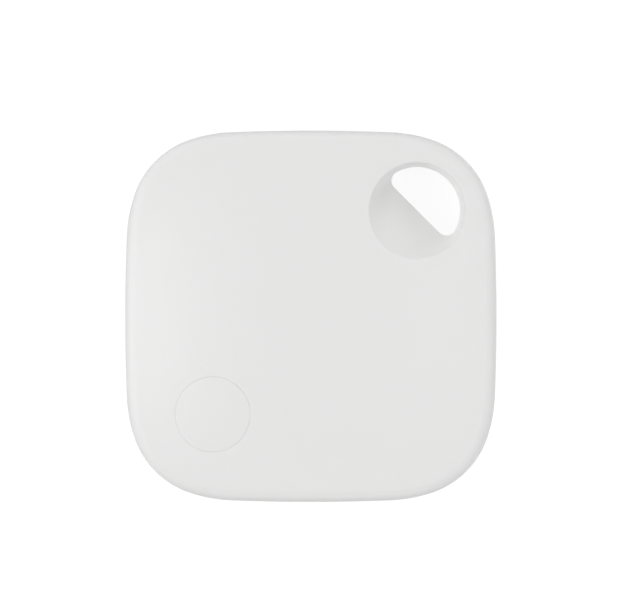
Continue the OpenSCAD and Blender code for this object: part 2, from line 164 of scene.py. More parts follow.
# The battery door's seat in the rear face, and the opening that its lugs pass.
DOOR_LOW, DOOR_HIGH = box_mm("battery_door")
DOOR_R = (DOOR_HIGH.x - DOOR_LOW.x) / 2
DOOR_TURN = 32
DOOR_FILLET = 0.15
SEAT_R = DOOR_R + 0.1
LEDGE_LOW, LEDGE_TOP = 1.2, 1.9
LEDGE_W, LEDGE_ROOT = 1.2, 0.3
THROAT_R = 11.3
NOTCH_R, NOTCH_HALF_A = 12.15, 14
O_RING_R = DOOR_R - 0.4
O_RING_LOW, O_RING_HIGH = 0.35, 0.85
DOOR_FLANGE_TOP = 1.15
CUP_OUT_R, CUP_IN_R = 11.1, 10.35
LUG_ANGLES = (90, 210, 330)
LUG_IN_R, LUG_OUT_R, LUG_A = 10.8, 12, 24

# The dimples that show where the door is locked and where it is open.
MARK_ANGLE = 205
MARK_R, MARK_PIN_R = 0.4, 0.2
MARK_DEPTH, MARK_EASE = 0.2, 0.05
MARK_OUT, MARK_IN = 0.8, 1

# ---- Curves ----


def arc(centre, r, a0, a1, steps):
    """Points of an arc between two angles in degrees, both ends included."""
    points = []
    for i in range(steps + 1):
        a = math.radians(a0 + (a1 - a0) * i / steps)
        points.append((centre[0] + r * math.cos(a), centre[1] + r * math.sin(a)))
    return points


def outline(inset):
    """The case's outline moved inward. Every quarter is the first one turned."""
    side_c = HALF_W - SIDE_ARC_R
    turn = math.radians(SIDE_ARC_A)
    gap = SIDE_ARC_R - BLEND_ARC_R
    blend_c = (side_c + gap * math.cos(turn), gap * math.sin(turn))
    u = (math.cos(math.radians(BLEND_ARC_A)), math.sin(math.radians(BLEND_ARC_A)))
    step = (blend_c[1] - blend_c[0]) / (u[0] - u[1])
    corner_c = (blend_c[0] + step * u[0], blend_c[1] + step * u[1])
    side_r, blend_r = SIDE_ARC_R - inset, BLEND_ARC_R - inset
    quarter = (
        arc((side_c, 0), side_r, 0, SIDE_ARC_A, 6)[:-1]
        + arc(blend_c, blend_r, SIDE_ARC_A, BLEND_ARC_A, 12)[:-1]
        + arc(corner_c, blend_r - step, BLEND_ARC_A, 90 - BLEND_ARC_A, 32)[:-1]
        + arc(blend_c[::-1], blend_r, 90 - BLEND_ARC_A, 90 - SIDE_ARC_A, 12)[:-1]
        + arc((0, side_c), side_r, 90 - SIDE_ARC_A, 90, 6)[:-1]
    )
    points = []
    for _ in range(4):
        points += quarter
        quarter = [(-y, x) for x, y in quarter]
    return points


# ---- Meshes ----


def new_object(name, bm):
    bmesh.ops.recalc_face_normals(bm, faces=bm.faces)
    mesh = bpy.data.meshes.new(name)
    bm.to_mesh(mesh)
    bm.free()
    obj = bpy.data.objects.new(name, mesh)
    bpy.context.scene.collection.objects.link(obj)
    return obj


def loft(name, rings):
    """A closed solid through rings of equally many 3-D points."""
    bm = bmesh.new()
    loops = [[bm.verts.new(p) for p in ring] for ring in rings]
    for low, high in zip(loops, loops[1:]):
        for i in range(len(low)):
            j = (i + 1) % len(low)
            bm.faces.new((low[i], low[j], high[j], high[i]))
    bm.faces.new(loops[0][::-1])
    bm.faces.new(loops[-1])
    bmesh.ops.remove_doubles(bm, verts=bm.verts, dist=1e-5)
    return new_object(name, bm)


def slab(name, sections):
    """A solid with the case's outline at each (inset, height)."""
    return loft(name, [[(x, y, z) for x, y in outline(inset)] for inset, z in sections])


def revolve(name, profile, centre, steps=160):
    """A solid of revolution about the upright axis through centre, from a closed loop of (radius, height)."""
    bm = bmesh.new()
    columns = []
    for k in range(steps):
        a = 2 * math.pi * k / steps
        column = [(centre.x + r * math.cos(a), centre.y + r * math.sin(a), z) for r, z in profile]
        columns.append([bm.verts.new(p) for p in column])
    for k in range(steps):
        left, right = columns[k], columns[(k + 1) % steps]
        for i in range(len(profile)):
            j = (i + 1) % len(profile)
            if profile[i][0] > 0 or profile[j][0] > 0:
                bm.faces.new((left[i], right[i], right[j], left[j]))
    bmesh.ops.remove_doubles(bm, verts=bm.verts, dist=1e-5)
    return new_object(name, bm)


def rod(r, z0, z1, centre, steps=96):
    return revolve("rod", [(0, z0), (r, z0), (r, z1), (0, z1)], centre, steps)


def block(low, high, at=(0, 0), turn=0.0):
    """A box from its low to its high corner, turned about the upright axis, then moved to at."""
    bm = bmesh.new()
    bmesh.ops.create_cube(bm, size=1)
    size = [h - l for l, h in zip(low, high)]
    mid = [(h + l) / 2 for l, h in zip(low, high)]
    rotation = Matrix.Rotation(math.radians(turn), 3, "Z")
    bmesh.ops.scale(bm, verts=bm.verts, vec=size)
    bmesh.ops.translate(bm, verts=bm.verts, vec=mid)
    bmesh.ops.rotate(bm, verts=bm.verts, cent=(0, 0, 0), matrix=rotation)
    bmesh.ops.translate(bm, verts=bm.verts, vec=(at[0], at[1], 0))
    return new_object("block", bm)


def sector(r0, r1, z0, z1, a0, span, centre, steps=24):
    """A piece of a ring between two radii, from angle a0 through span degrees."""
    inner = arc((centre.x, centre.y), r0, a0 + span, a0, steps)
    outer = arc((centre.x, centre.y), r1, a0, a0 + span, steps)
    return loft("sector", [[(x, y, z) for x, y in outer + inner] for z in (z0, z1)])


def mirrored(obj):
    """Turns a solid of the front half into one of the rear half."""
    obj.data.transform(Matrix.Translation((0, 0, CASE_T)) @ Matrix.Scale(-1, 4, (0, 0, 1)))
    obj.data.flip_normals()
    return obj


def combine(target, operation, tools):
    """A boolean of target with each tool in turn, split into triangles, which stay exact."""
    for tool in tools:
        mod = target.modifiers.new("combine", "BOOLEAN")
        mod.operation = operation
        mod.solver = "EXACT"
        mod.object = tool
        bm = bmesh.new()
        bm.from_object(target, bpy.context.evaluated_depsgraph_get())
        bmesh.ops.triangulate(bm, faces=bm.faces)
        target.modifiers.clear()
        bm.to_mesh(target.data)
        bm.free()
        bpy.data.objects.remove(tool)
    return target


def cut(target, *tools):
    return combine(target, "DIFFERENCE", tools)


def add(target, *tools):
    return combine(target, "UNION", tools)


def together(*solids):
    """One object out of solids that don't touch each other."""
    bm = bmesh.new()
    for solid in solids:
        bm.from_mesh(solid.data)
        bpy.data.objects.remove(solid)
    return new_object("together", bm)


def smooth(obj, angle=28):
    """Rounds the shading of fillets and keeps flats flat and edges sharp."""
    for polygon in obj.data.polygons:
        polygon.use_smooth = True
    obj.data.set_sharp_from_angle(angle=math.radians(angle))
    mod = obj.modifiers.new("flat faces stay flat", "WEIGHTED_NORMAL")
    mod.keep_sharp = True
    mod.weight = 100


# ---- Keyring eye ----

EYE_CORNER_X = EYE_EDGE + EYE_CORNER_R
EYE_CORNER_Y = math.sqrt((EYE_R - EYE_CORNER_R) ** 2 - EYE_CORNER_X**2)
EYE_CORNER_A = math.degrees(math.atan2(EYE_CORNER_Y, EYE_CORNER_X))


def eye_directions():
    """Directions of the eye's outward normals, with the flat edge's own direction at both ends."""
    steps = 72
    half = [180 * i / steps for i in range(steps + 1)]
    return [-a for a in half[::-1]] + half[1:]


def half_round(a, grow):
    """The point of the half-round opening whose outward normal points along a."""
    n = Vector((math.cos(math.radians(a)), math.sin(math.radians(a))))
    if abs(a) <= EYE_CORNER_A:
        return n * (EYE_R + grow)
    corner = Vector((EYE_CORNER_X, math.copysign(EYE_CORNER_Y, a)))
    return corner + n * (EYE_CORNER_R + grow)


def eye_ring(place, grow=0.0):
    """A ring of the eye's wall, moved outward by grow. For the wall's slope at the rim, place gives a
    height, a share of the way from the opening to the rim, and a distance further out."""
    ring = []
    turn = Matrix.Rotation(math.radians(EYE_TURN), 2)
    drop = turn.transposed() @ Vector((0, -EYE_RIM_DROP))
    for a in eye_directions():
        n = Vector((math.cos(math.radians(a)), math.sin(math.radians(a))))
        low = half_round(a, grow)
        rim_r = EYE_RIM_R + grow + drop.dot(n)
        slope = EYE_CROWN * (rim_r - low.dot(n)) / (CASE_T - SPLIT_Z)
        rim = drop + n * (EYE_RIM_R + grow - EYE_FILLET * (math.hypot(1, slope) - slope))
        z, share, out = place(slope)
        p = turn @ (low.lerp(rim, share) + n * out)
        ring.append((EYE.x + p.x, EYE.y + p.y, z))
    return ring


def eye_wall(z):
    """The wall at height z. It is crowned: steep at the opening, shallower towards the rim."""
    rise = min(max((z - SPLIT_Z) / (CASE_T - SPLIT_Z), 0), 1)
    return lambda slope: (z, rise**EYE_CROWN, 0)


def eye_fillet(part):
    """A rolling fillet between the wall and the face, from 0 at the wall to 1 at the face."""

    def place(slope):
        start = math.pi - math.atan(slope)
        a = start + (math.pi / 2 - start) * part
        z = CASE_T - EYE_FILLET + EYE_FILLET * math.sin(a)
        return z, 1, EYE_FILLET * (math.hypot(1, slope) - slope + math.cos(a))

    return place


def eye_cutter():
    """The eye's hollow in the front half, from just below half thickness to above the face."""
    wall_steps, fillet_steps = 12, 7
    height = CASE_T - SPLIT_Z
    levels = [eye_ring(eye_wall(z)) for z in (SPLIT_Z - 0.05, SPLIT_Z + 0.04)]
    levels += [eye_ring(eye_wall(SPLIT_Z + 0.9 * height * i / wall_steps)) for i in range(1, wall_steps)]
    levels += [eye_ring(eye_fillet(i / fillet_steps)) for i in range(fillet_steps + 1)]
    levels.append(eye_ring(lambda slope: (CASE_T + 0.3, 1, eye_fillet(1)(slope)[2])))
    return loft("eye_cutter", levels)


def eye_tube():
    """The wall round the eye inside the front half, kept under the front face."""
    levels = [SPLIT_Z + (CASE_T - SPLIT_Z) * i / 8 for i in range(9)]
    tube = loft("eye_tube", [eye_ring(eye_wall(z), EYE_WALL) for z in levels])
    inset = SIDE_WALL / 4
    return combine(tube, "INTERSECT", [slab("keep", [(inset, SPLIT_Z), (inset, CASE_T - 0.5)])])


# ---- Case ----


def half_case(name):
    """The front half's skin: half of the parting line, a side with mould draft and a rounded edge."""
    lip = SPLIT_Z + PART_GAP
    line = [(PART_DEPTH, SPLIT_Z), (PART_DEPTH, lip), (PART_BREAK, lip), (0, lip + PART_BREAK)]
    return slab(name, line + arc((SIDE_DRAFT + EDGE_R, CASE_T - EDGE_R), EDGE_R, 180, 90, 16))


def snaps(play=0.0):
    """Two bumps on each side of the lip, or with play the pockets that they click into."""
    start, end = HALF_W - SIDE_WALL, HALF_W - LIP_INSET + SNAP_OUT + play
    half = SNAP_W / 2 + play
    blocks = []
    for quarter in range(4):
        for y in (-SNAP_AT, SNAP_AT):
            low, high = (start, y - half, SNAP_Z - play), (end, y + half, SNAP_Z + SNAP_H + play)
            blocks.append(block(low, high, turn=90 * quarter))
    return blocks


def boss(x, y):
    """A boss with a hole for a screw of the inner frame."""
    profile = [(SCREW_HOLE_R, BOARD_TOP), (BOSS_R, BOARD_TOP), (BOSS_R, ROOT_Z), (SCREW_HOLE_R, ROOT_Z)]
    return revolve("boss", profile, Vector((x, y, 0)), 48)


def pin(x, y):
    """A pin that places the inner frame, with an eased tip and a shoulder on the board."""
    tip, ease = FRAME_TOP - PIN_DEPTH, PIN_R - PIN_TIP_R
    profile = [(0, tip), (PIN_TIP_R, tip), (PIN_R, tip + ease), (PIN_R, BOARD_TOP)]
    profile += [(PIN_SHOULDER_R, BOARD_TOP), (PIN_SHOULDER_R, ROOT_Z), (0, ROOT_Z)]
    return revolve("pin", profile, Vector((x, y, 0)), 48)


def round_wall(r, low, centre):
    """A thin round wall from the front face's inside down to low."""
    outer = r + ROUND_WALL
    return revolve("round_wall", [(r, low), (outer, low), (outer, ROOT_Z), (r, ROOT_Z)], centre)


def key_blocks(r0, r1, half_w, low, high):
    """A block on the left and right of the button's axis, between two radii."""
    blocks = []
    for side in (-1, 1):
        inner, outer = sorted((side * r0, side * r1))
        blocks.append(block((inner, -half_w, low), (outer, half_w, high), (BUTTON.x, BUTTON.y)))
    return blocks


def button_bore():
    """The button's hole through the front face, with eased edges."""
    r, f = GROOVE_R + GROOVE_HALF_GAP, GROOVE_FILLET
    profile = [(0, FRONT_IN - 0.6), (r, FRONT_IN - 0.6)]
    profile += arc((r + f, CASE_T - f), f, 180, 90, 6)
    profile += [(r + f, CASE_T + 1), (0, CASE_T + 1)]
    return revolve("button_bore", profile, BUTTON)


def front_shell():
    shell = half_case("case_front")
    cavity = slab("cavity", [(SIDE_WALL, SPLIT_Z - 1), (SIDE_WALL, FRONT_IN)])
    rebate = slab("rebate", [(REBATE_INSET, SPLIT_Z - 1), (REBATE_INSET, SEAL_TOP)])
    cut(shell, cavity, rebate)
    guide_low = box_mm("button_cap")[0].z - GUIDE_BELOW
    inside = [eye_tube()]
    inside += [boss(x, y) for x, y in SCREWS]
    inside += [pin(x, y) for x, y in PINS]
    inside += [round_wall(RIB_R, FRONT_IN - RIB_H, ORIGIN), round_wall(GUIDE_R, guide_low, BUTTON)]
    add(shell, together(*inside))
    notches = key_blocks(*KEY_NOTCH, guide_low - 1, FRONT_IN)
    cut(shell, together(*snaps(SNAP_PLAY), *notches))
    cut(shell, together(eye_cutter(), button_bore()))
    return shell


def mark(r, angle, ring=False):
    """A round dimple in the rear face at radius r from the cell's axis, or a ring-shaped one."""
    a = math.radians(angle)
    at = Vector((CELL.x + r * math.cos(a), CELL.y + r * math.sin(a), 0))
    wall = [(MARK_R, -1), (MARK_R, MARK_DEPTH - MARK_EASE), (MARK_R - MARK_EASE, MARK_DEPTH)]
    inner_r = MARK_PIN_R if ring else 0
    return revolve("mark", wall + [(inner_r, MARK_DEPTH), (inner_r, -1)], at, 40)


def throat():
    """The opening in the ledge, with a notch where each of the door's lugs comes out."""
    ring = []
    centre = (CELL.x, CELL.y)
    middles = [a - DOOR_TURN for a in LUG_ANGLES]
    for here, after in zip(middles, middles[1:] + [middles[0] + 360]):
        ring += arc(centre, NOTCH_R, here - NOTCH_HALF_A, here + NOTCH_HALF_A, 20)
        ring += arc(centre, THROAT_R, here + NOTCH_HALF_A, after - NOTCH_HALF_A, 60)
    return loft("throat", [[(x, y, z) for x, y in ring] for z in (LEDGE_LOW - 0.5, 5)])


def rear_shell():
    shell = mirrored(half_case("case_rear"))
    cut(shell, slab("cavity", [(SIDE_WALL, LEDGE_LOW), (SIDE_WALL, SPLIT_Z + 1)]))
    lip = slab("lip", [(LIP_INSET, SPLIT_Z - 0.5), (LIP_INSET, LIP_TOP)])
    cut(lip, slab("lip_inside", [(SIDE_WALL, SPLIT_Z - 1), (SIDE_WALL, LIP_TOP + 1)]))
    cut(lip, rod(EYE_CLEAR_R, SPLIT_Z, LIP_TOP + 1, EYE))
    add(shell, lip)
    add(shell, together(*snaps()))
    add(shell, mirrored(eye_tube()))
    low, ledge_r = LEDGE_LOW - LEDGE_ROOT, SEAT_R + LEDGE_W
    ledge = [(0, low), (ledge_r, low), (ledge_r, LEDGE_TOP), (0, LEDGE_TOP)]
    add(shell, revolve("ledge", ledge, CELL, 240))
    cut(shell, mirrored(eye_cutter()))
    f = DOOR_FILLET
    seat = [(0, -1), (SEAT_R + f, -1)] + arc((SEAT_R + f, f), f, 270, 180, 6)
    seat += [(SEAT_R, LEDGE_LOW), (0, LEDGE_LOW)]
    locked = mark(SEAT_R + MARK_OUT, MARK_ANGLE)
    opened = mark(SEAT_R + MARK_OUT, MARK_ANGLE - DOOR_TURN, ring=True)
    cut(shell, together(revolve("seat", seat, CELL, 240), locked, opened), throat())
    return shell


# ---- Button and door ----


def button():
    low, high = box_mm("button_cap")
    r, f = GROOVE_R - GROOVE_HALF_GAP, GROOVE_FILLET
    flange_top = low.z + FLANGE_H
    groove_low, groove_high = (high.z - down for down in SEAL_GROOVE_DOWN)
    profile = [(0, low.z), (FLANGE_R, low.z), (FLANGE_R, flange_top), (r, flange_top)]
    profile += [(r, groove_low), (SEAL_GROOVE_R, groove_low), (SEAL_GROOVE_R, groove_high)]
    profile += [(r, groove_high)] + arc((r - f, high.z - f), f, 0, 90, 6) + [(0, high.z)]
    cap = revolve("button_top", profile, BUTTON)
    add(cap, *key_blocks(*KEY, low.z, flange_top))
    pad_low, pad_high = box_mm("button_pad")
    cut(cap, rod((pad_high.x - pad_low.x) / 2 + PAD_PLAY, low.z - 1, pad_high.z, BUTTON))
    return cap


def coin_slot():
    """A slot with an arched floor and eased edges, across the door."""
    length, width, depth, ease, turn = 13, 2, 0.7, 0.12, -45
    above = -0.01
    r = ((length / 2) ** 2 + depth**2) / (2 * depth)
    half = math.degrees(math.asin(length / 2 / r))
    curve = arc((0, depth - r), r, 90 + half, 90 - half, 40)
    start, end = curve[0][0], curve[-1][0]
    rings = []
    for side in (-1, 1):
        edge = side * (width / 2 + ease)
        inner = [(x, side * width / 2, max(z, above)) for x, z in curve]
        outer = [(x, edge, above) for x, z in curve]
        inner += [(end, side * width / 2, -1), (start, side * width / 2, -1)]
        outer += [(end, edge, -1), (start, edge, -1)]
        rings += [outer, inner][::-side]
    slot = loft("coin_slot", rings)
    place = Matrix.Translation((CELL.x, CELL.y, 0))
    slot.data.transform(place @ Matrix.Rotation(math.radians(turn), 4, "Z"))
    return slot


def door():
    f, top = DOOR_FILLET, DOOR_HIGH.z
    profile = [(0, 0)] + arc((DOOR_R - f, f), f, 270, 360, 6)
    profile += [(DOOR_R, O_RING_LOW), (O_RING_R, O_RING_LOW)]
    profile += [(O_RING_R, O_RING_HIGH), (DOOR_R, O_RING_HIGH)]
    profile += [(DOOR_R, DOOR_FLANGE_TOP), (CUP_OUT_R, DOOR_FLANGE_TOP)]
    profile += arc((CUP_OUT_R - f, top - f), f, 0, 90, 5)
    profile += arc((CUP_IN_R + f, top - f), f, 90, 180, 5)
    profile += [(CUP_IN_R, LEDGE_LOW), (0, LEDGE_LOW)]
    body = revolve("cell_door", profile, CELL, 256)
    for a in LUG_ANGLES:
        lug = sector(LUG_IN_R, LUG_OUT_R, LEDGE_TOP + 0.05, top - 0.01, a - LUG_A / 2, LUG_A, CELL)
        add(body, lug)
    cut(body, coin_slot(), mark(DOOR_R - MARK_IN, MARK_ANGLE))
    return body


# ---- Switch ----


def dome():
    """The thin snap dome, which stands on its rim under the plunger."""
    low, high = box_mm("switch_dome")
    r, centre = (high.x - low.x) / 2, (0, high.z - DOME_BALL_R)
    inner_r = DOME_BALL_R - DOME_WALL
    rim_a = math.degrees(math.acos(r / DOME_BALL_R))
    foot_a = math.degrees(math.asin((low.z - centre[1]) / inner_r))
    under = arc(centre, inner_r, 90, foot_a, 12)[1:]
    top = arc(centre, DOME_BALL_R, rim_a, 90, 12)[:-1]
    profile = [(0, high.z - DOME_WALL)] + under + [(r, low.z)] + top + [(0, high.z)]
    return revolve("snap_dome", profile, BUTTON, 72)


def flatten_dome(piece):
    """Gives the dome piece its own copy of its mesh. Its shape stays as built."""
    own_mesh(piece)


# ---- Materials ----


class Nodes:
    """A short way to wire a material's nodes."""

    def __init__(self, name):
        self.material = bpy.data.materials.new(name)
        self.material.use_nodes = True
        self.tree = self.material.node_tree
        self.shader = self.tree.nodes["Principled BSDF"]
        coordinates = self.add("ShaderNodeTexCoord")
        self.place = coordinates.outputs["Object"]
        self.normal = coordinates.outputs["Normal"]

    def add(self, kind, **settings):
        node = self.tree.nodes.new(kind)
        for key, value in settings.items():
            setattr(node, key, value)
        return node

    def link(self, out, into):
        self.tree.links.new(out, into)

    def set(self, **values):
        for key, value in values.items():
            self.shader.inputs[key.replace("_", " ")].default_value = value

    def feed(self, name, out):
        """Links an output to the shader's socket of that name."""
        self.link(out, self.shader.inputs[name])

    def vector(self, operation, value, by):
        node = self.add("ShaderNodeVectorMath", operation=operation)
        self.link(value, node.inputs[0])
        node.inputs[1].default_value = by
        return node.outputs["Vector"]

    def math(self, operation, a, b):
        node = self.add("ShaderNodeMath", operation=operation)
        self.link(a, node.inputs[0])
        self.link(b, node.inputs[1])
        return node.outputs["Value"]

    def ramp(self, value, low, high, start, end):
        """Maps value from low..high to start..end."""
        node = self.add("ShaderNodeMapRange")
        for key, number in (("From Min", low), ("From Max", high), ("To Min", start), ("To Max", end)):
            node.inputs[key].default_value = number
        self.link(value, node.inputs["Value"])
        return node.outputs["Result"]

    def mix(self, value, dark, light):
        node = self.add("ShaderNodeMix", data_type="RGBA")
        node.inputs["A"].default_value = (*dark, 1)
        node.inputs["B"].default_value = (*light, 1)
        self.link(value, node.inputs["Factor"])
        return node.outputs["Result"]

    def dim(self, colour, factor):
        node = self.add("ShaderNodeVectorMath", operation="SCALE")
        self.link(colour, node.inputs[0])
        self.link(factor, node.inputs["Scale"])
        return node.outputs["Vector"]

    def bump(self, height, depth):
        node = self.add("ShaderNodeBump")
        node.inputs["Distance"].default_value = depth * MM
        node.inputs["Strength"].default_value = 1.0
        self.link(height, node.inputs["Height"])
        self.feed("Normal", node.outputs["Normal"])

    def noise(self, size, detail=3.0, stretch=(1, 1, 1)):
        """A noise whose grains are about size millimetres, longer along an axis with a small stretch."""
        node = self.add("ShaderNodeTexNoise")
        node.inputs["Scale"].default_value = 1 / (size * MM)
        node.inputs["Detail"].default_value = detail
        self.link(self.vector("MULTIPLY", self.place, stretch), node.inputs["Vector"])
        return node.outputs["Fac"]

    def patches(self, size, start, end):
        """Soft patches about size millimetres across, between two values."""
        return self.ramp(self.noise(size), 0.3, 0.7, start, end)

    def cells(self, size, feature="F1", metric="EUCLIDEAN"):
        """Distance to the nearest or second nearest of points about size millimetres apart."""
        node = self.add("ShaderNodeTexVoronoi", feature=feature, distance=metric)
        node.inputs["Scale"].default_value = 1 / (size * MM)
        self.link(self.place, node.inputs["Vector"])
        return node.outputs["Distance"]

    def distance(self, centre):
        """The distance in metres from the upright axis through centre."""
        flat = self.vector("MULTIPLY", self.vector("SUBTRACT", self.place, centre * MM), (1, 1, 0))
        length = self.add("ShaderNodeVectorMath", operation="LENGTH")
        self.link(flat, length.inputs[0])
        return length.outputs["Value"]

    def rings(self, centre, size):
        """A noise of rings about size millimetres wide, round the upright axis through centre."""
        node = self.add("ShaderNodeTexNoise", noise_dimensions="1D")
        node.inputs["Scale"].default_value = 1 / (size * MM)
        self.link(self.distance(centre), node.inputs["W"])
        return node.outputs["Fac"]

    def flatness(self):
        """1 on a face that lies flat, 0 on an upright wall."""
        axes = self.add("ShaderNodeSeparateXYZ")
        self.link(self.normal, axes.inputs["Vector"])
        size = self.add("ShaderNodeMath", operation="ABSOLUTE")
        self.link(axes.outputs["Z"], size.inputs[0])
        return size.outputs["Value"]

    def rim(self, inset):
        """0 where x and y, to the fourth power, fall inset millimetres short of the outline, 1 at it."""
        power = self.vector("MULTIPLY", self.place, (1, 1, 0))
        for _ in range(2):
            product = self.add("ShaderNodeVectorMath", operation="MULTIPLY")
            self.link(power, product.inputs[0])
            self.link(power, product.inputs[1])
            power = product.outputs["Vector"]
        total = self.add("ShaderNodeVectorMath", operation="DOT_PRODUCT")
        self.link(power, total.inputs[0])
        total.inputs[1].default_value = (1, 1, 1)
        return self.ramp(total.outputs["Value"], ((HALF_W - inset) * MM) ** 4, (HALF_W * MM) ** 4, 0, 1)


def grey(level, warm=0.0):
    return (level, level * (1 - warm * 0.3), level * (1 - warm))


def white_plastic(name, level):
    """Moulded white plastic with a fine grain, and painted shade that makes its steep outer sides up to a
    quarter darker near the outline.
    """
    painted_shade_band_width, painted_side_shade = 2.0, 0.75
    m = Nodes(name)
    colour = m.mix(m.patches(3.0, 0, 1), grey(level * 0.997, 0.008), grey(level, 0.004))
    # Painted shade: steep faces within a band of the outline get a darker colour, darkest at the outline
    # itself.
    side = m.math("MULTIPLY", m.ramp(m.flatness(), 0, 0.85, 1, 0), m.rim(painted_shade_band_width))
    m.feed("Base Color", m.dim(colour, m.ramp(side, 0, 1, 1, painted_side_shade)))
    m.feed("Roughness", m.patches(1.2, 0.42, 0.5))
    m.bump(m.noise(0.09, 2.0), 0.004)
    m.set(Specular_IOR_Level=0.25)
    return m.material


def surface(name, dark, light, rough, grain, depth, metallic=0.0, patch=2.0):
    """A moulded or fired surface: patchy colour, uneven gloss and a fine grain, in millimetres."""
    m = Nodes(name)
    m.feed("Base Color", m.mix(m.patches(patch, 0, 1), dark, light))
    m.feed("Roughness", m.patches(patch * 0.4, *rough))
    m.bump(m.noise(grain, 2.0), depth)
    m.set(Metallic=metallic)
    return m.material


def brushed(name, dark, light, rough):
    """A rolled metal with fine streaks along one axis."""
    m = Nodes(name)
    streaks = m.noise(0.05, 4.0, (0.04, 1, 1))
    m.feed("Base Color", m.mix(m.patches(1.5, 0, 1), dark, light))
    m.feed("Roughness", m.ramp(streaks, 0.25, 0.75, *rough))
    m.bump(streaks, 0.002)
    m.set(Metallic=1.0)
    return m.material


def turned(name, dark, light, rough, centre):
    """A metal disc with the fine rings of its forming round the axis through centre."""
    m = Nodes(name)
    rings = m.rings(centre, 0.06)
    m.feed("Base Color", m.mix(m.patches(3.0, 0, 1), dark, light))
    m.feed("Roughness", m.ramp(rings, 0.25, 0.75, *rough))
    m.bump(rings, 0.002)
    m.set(Metallic=1.0)
    return m.material


def foam(name, dark, light):
    """An open-celled foam sheet."""
    m = Nodes(name)
    pores = m.ramp(m.cells(0.25), 0.1, 0.6, 0, 1)
    m.feed("Base Color", m.mix(pores, dark, light))
    m.feed("Roughness", m.patches(0.5, 0.85, 0.95))
    m.bump(pores, 0.05)
    return m.material


def solder_mask(name, deep, over_copper):
    """Glossy lacquer on a board. Copper traces and vias show through as paler, raised lines and dots."""
    trace_spacing, via_spacing = 1.1, 1.7
    m = Nodes(name)
    far, near = (m.cells(trace_spacing, feature, "MANHATTAN") for feature in ("F2", "F1"))
    traces = m.ramp(m.math("SUBTRACT", far, near), 0.1, 0.14, 1, 0)
    vias = m.ramp(m.cells(via_spacing), 0.1, 0.13, 1, 0)
    copper = m.math("MAXIMUM", traces, vias)
    m.feed("Base Color", m.mix(copper, deep, over_copper))
    m.feed("Roughness", m.patches(0.8, 0.16, 0.26))
    m.bump(copper, 0.02)
    return m.material


# Roughness from and to, for finishes that several materials share.
MATT, SATIN, SEMI, ROLLED = (0.75, 0.9), (0.4, 0.55), (0.35, 0.5), (0.22, 0.42)

# Each material slot of the record: the function that makes it, and what it is given.
SLOTS = {
    "case_white": (white_plastic, 0.90),
    "button_white": (white_plastic, 0.90),
    "door_white": (white_plastic, 0.89),
    "seal_rubber": (surface, grey(0.012), grey(0.022), (0.6, 0.75), 0.15, 0.006),
    "pale_silicone": (surface, grey(0.36), grey(0.42), SATIN, 0.2, 0.004),
    "door_foam": (foam, grey(0.02), grey(0.05)),
    "frame_plastic": (surface, grey(0.018), grey(0.028), SATIN, 0.12, 0.006),
    "screw_steel": (surface, grey(0.5), grey(0.58), (0.22, 0.38), 0.1, 0.003, 1.0, 0.8),
    "board_green": (solder_mask, (0.004, 0.042, 0.017), (0.012, 0.1, 0.04)),
    "package_black": (surface, grey(0.012), grey(0.018), SATIN, 0.06, 0.003),
    "crystal_metal": (brushed, grey(0.55, 0.08), grey(0.62, 0.06), ROLLED),
    "antenna_ceramic": (surface, (0.5, 0.58, 0.66), (0.58, 0.64, 0.7), (0.3, 0.45), 0.1, 0.003),
    "inductor_ferrite": (surface, grey(0.03), grey(0.05), (0.5, 0.65), 0.12, 0.008),
    "capacitor_ceramic": (surface, (0.26, 0.15, 0.07), (0.33, 0.2, 0.1), SEMI, 0.08, 0.003),
    "resistor_film": (surface, grey(0.01), grey(0.02), (0.2, 0.3), 0.08, 0.002),
    "gold_pads": (surface, (0.68, 0.42, 0.1), (0.78, 0.5, 0.14), (0.2, 0.35), 0.1, 0.002, 1.0, 0.6),
    "spring_bronze": (brushed, (0.56, 0.42, 0.2), (0.66, 0.5, 0.26), (0.2, 0.42)),
    "sounder_brass": (turned, (0.6, 0.36, 0.09), (0.7, 0.44, 0.13), (0.2, 0.4), SOUNDER),
    "sounder_ceramic": (surface, grey(0.58, 0.08), grey(0.66, 0.06), (0.3, 0.45), 0.1, 0.004, 0.6),
    "adhesive_black": (surface, grey(0.01), grey(0.02), MATT, 0.15, 0.01),
    "switch_black": (surface, grey(0.012), grey(0.02), SATIN, 0.08, 0.004),
    "tinned_steel": (brushed, grey(0.5), grey(0.6), ROLLED),
    "dome_steel": (turned, grey(0.55), grey(0.62), (0.08, 0.22), BUTTON),
    "plunger_red": (surface, (0.3, 0.012, 0.008), (0.38, 0.02, 0.012), SEMI, 0.08, 0.003),
    "cell_steel": (turned, grey(0.52), grey(0.6), (0.16, 0.36), CELL),
    "cell_gasket": (surface, grey(0.5), grey(0.58), SEMI, 0.1, 0.004),
    "cathode_black": (surface, grey(0.006), grey(0.014), MATT, 0.06, 0.01),
    "separator_white": (surface, grey(0.7), grey(0.8), (0.85, 0.95), 0.12, 0.02),
    "anode_lithium": (surface, grey(0.42), grey(0.5), (0.3, 0.5), 0.15, 0.005, 1.0),
}
finishes = {name: make(name, *values) for name, (make, *values) in SLOTS.items()}

# ---- Pieces ----

slot_of = {s["node"]: s["material_slot"] for s in frame["record"]["subparts"]}
replaced = set()


def paint(obj, node):
    obj.data.materials.clear()
    obj.data.materials.append(finishes[slot_of[node]])


def finish_piece(piece, node, body):
    """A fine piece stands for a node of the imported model, rides on its body and takes its material."""
    piece.data.transform(Matrix.Scale(MM, 4))
    smooth(piece)
    paint(piece, node)
    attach(piece, body)
    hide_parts(node)
    replaced.add(node)
    return piece


finish_piece(front_shell(), "front_shell", "case")
finish_piece(rear_shell(), "rear_shell", "case")
finish_piece(button(), "button_cap", "button")
finish_piece(door(), "battery_door", "door")
flatten_dome(finish_piece(dome(), "switch_dome", "case"))

for node, obj in frame["nodes"].items():
    if node not in replaced:
        paint(obj, node)

# ---- Studio, in metres and watts ----

